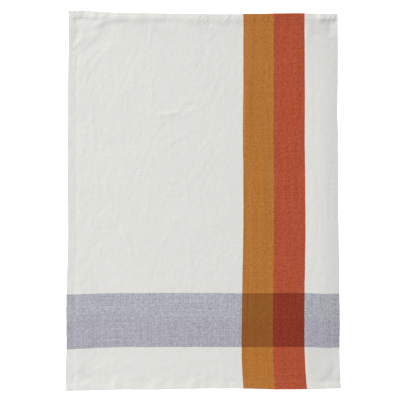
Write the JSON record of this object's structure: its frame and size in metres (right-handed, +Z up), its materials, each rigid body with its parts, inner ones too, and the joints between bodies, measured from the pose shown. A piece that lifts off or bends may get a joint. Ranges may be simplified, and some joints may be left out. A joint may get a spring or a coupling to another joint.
{
  "type": "tea towel",
  "caption": "Rectangular woven tea towel, hemmed all round, with upright stripes and a crossing band, laid flat and face up.",
  "frame": {"origin": "under the middle of the cloth, on the surface that it lies on", "axes": "+Y towards the top hem, along the cloth's length; +X to the right across its width, towards the red stripe's side; +Z up, out of its face"},
  "size_m": [0.5092, 0.7032, 0.0039],
  "materials": {
    "cloth": "matt plain-woven cotton, off-white with ochre, red and blue woven stripes"
  },
  "bodies": {
    "root": {"towel_cloth": "cloth"}
  },
  "joints": []
}
